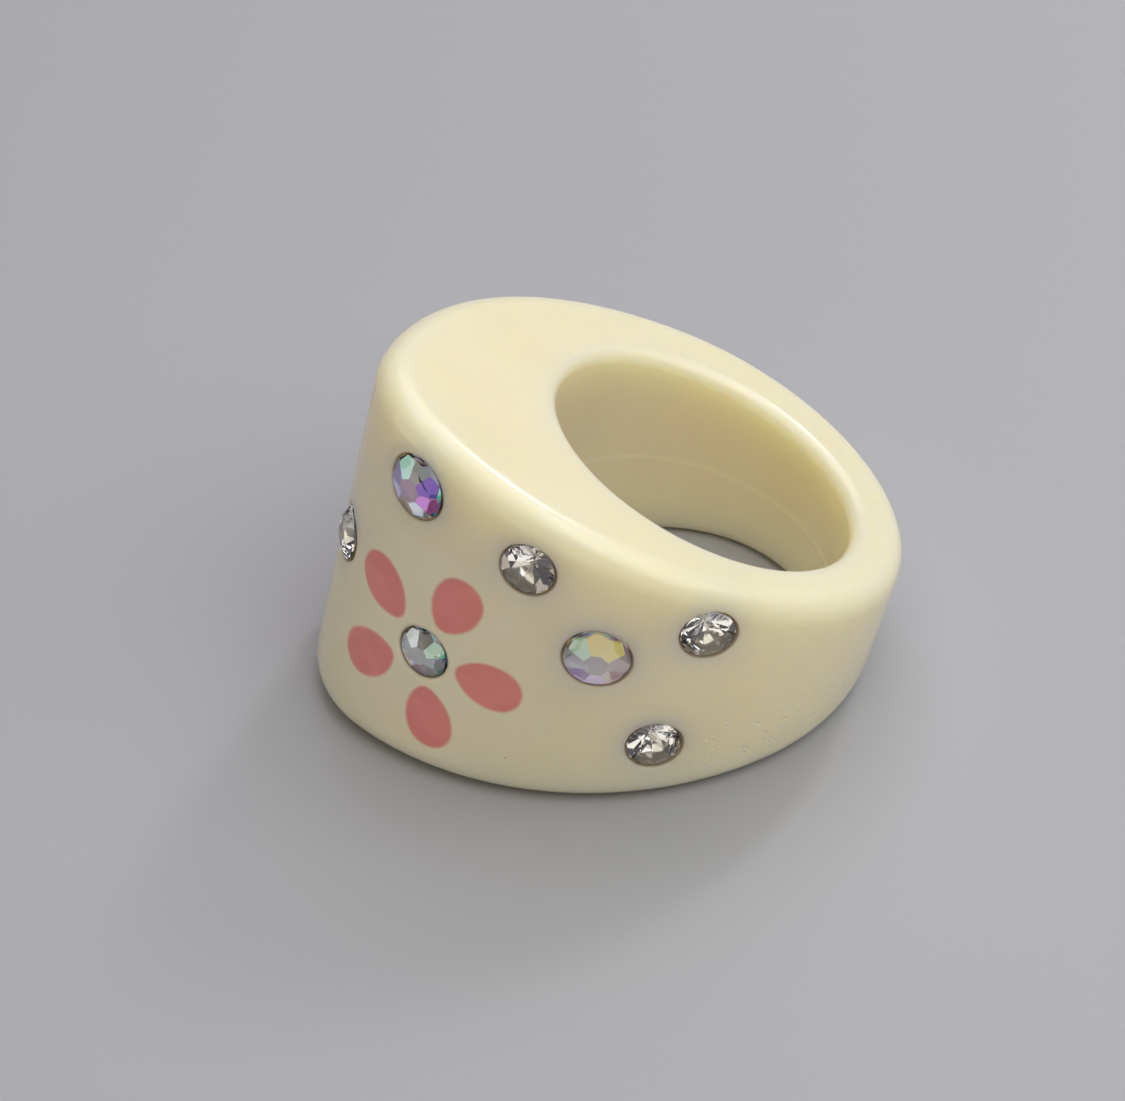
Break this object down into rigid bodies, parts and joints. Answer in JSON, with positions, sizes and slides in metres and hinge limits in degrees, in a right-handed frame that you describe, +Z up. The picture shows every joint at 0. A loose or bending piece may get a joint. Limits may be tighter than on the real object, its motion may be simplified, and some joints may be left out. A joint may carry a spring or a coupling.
{
  "type": "cocktail ring",
  "caption": "Chunky egg-shaped resin ring with wedge side faces, an off-centre finger hole, inlaid petals and foil-backed crystals set in drilled seats.",
  "frame": {"origin": "middle of the ring's box, on the plane of the side face that it lies on", "axes": "+Z up, square to the lower side face; -Y towards the thick decorated nose; +X towards the flank that the finger hole is nearer to"},
  "size_m": [0.0268, 0.0334, 0.0211],
  "materials": {
    "ivory_resin": "polished",
    "pink_resin": "polished",
    "clear_crystal": "polished facets",
    "iridescent_crystal": "polished facets with an iridescent coating",
    "silver_foil": "bright",
    "clear_cement": "satin"
  },
  "bodies": {
    "root": {"cement_left_front": "clear_cement", "cement_left_middle": "clear_cement", "cement_left_rear_lower": "clear_cement", "cement_left_rear_upper": "clear_cement", "cement_left_shoulder": "clear_cement", "cement_left_upper": "clear_cement", "cement_nose": "clear_cement", "cement_right_front": "clear_cement", "cement_right_middle": "clear_cement", "cement_right_rear_lower": "clear_cement", "cement_right_rear_upper": "clear_cement", "cement_right_shoulder": "clear_cement", "cement_right_upper": "clear_cement", "crystal_left_front": "iridescent_crystal", "crystal_left_middle": "iridescent_crystal", "crystal_left_rear_lower": "clear_crystal", "crystal_left_rear_upper": "clear_crystal", "crystal_left_shoulder": "iridescent_crystal", "crystal_left_upper": "clear_crystal", "crystal_nose": "clear_crystal", "crystal_right_front": "iridescent_crystal", "crystal_right_middle": "iridescent_crystal", "crystal_right_rear_lower": "clear_crystal", "crystal_right_rear_upper": "clear_crystal", "crystal_right_shoulder": "iridescent_crystal", "crystal_right_upper": "clear_crystal", "foil_left_front": "silver_foil", "foil_left_middle": "silver_foil", "foil_left_rear_lower": "silver_foil", "foil_left_rear_upper": "silver_foil", "foil_left_shoulder": "silver_foil", "foil_left_upper": "silver_foil", "foil_nose": "silver_foil", "foil_right_front": "silver_foil", "foil_right_middle": "silver_foil", "foil_right_rear_lower": "silver_foil", "foil_right_rear_upper": "silver_foil", "foil_right_shoulder": "silver_foil", "foil_right_upper": "silver_foil", "petal_1": "pink_resin", "petal_2": "pink_resin", "petal_3": "pink_resin", "petal_4": "pink_resin", "petal_5": "pink_resin", "ring_body": "ivory_resin"}
  },
  "joints": []
}
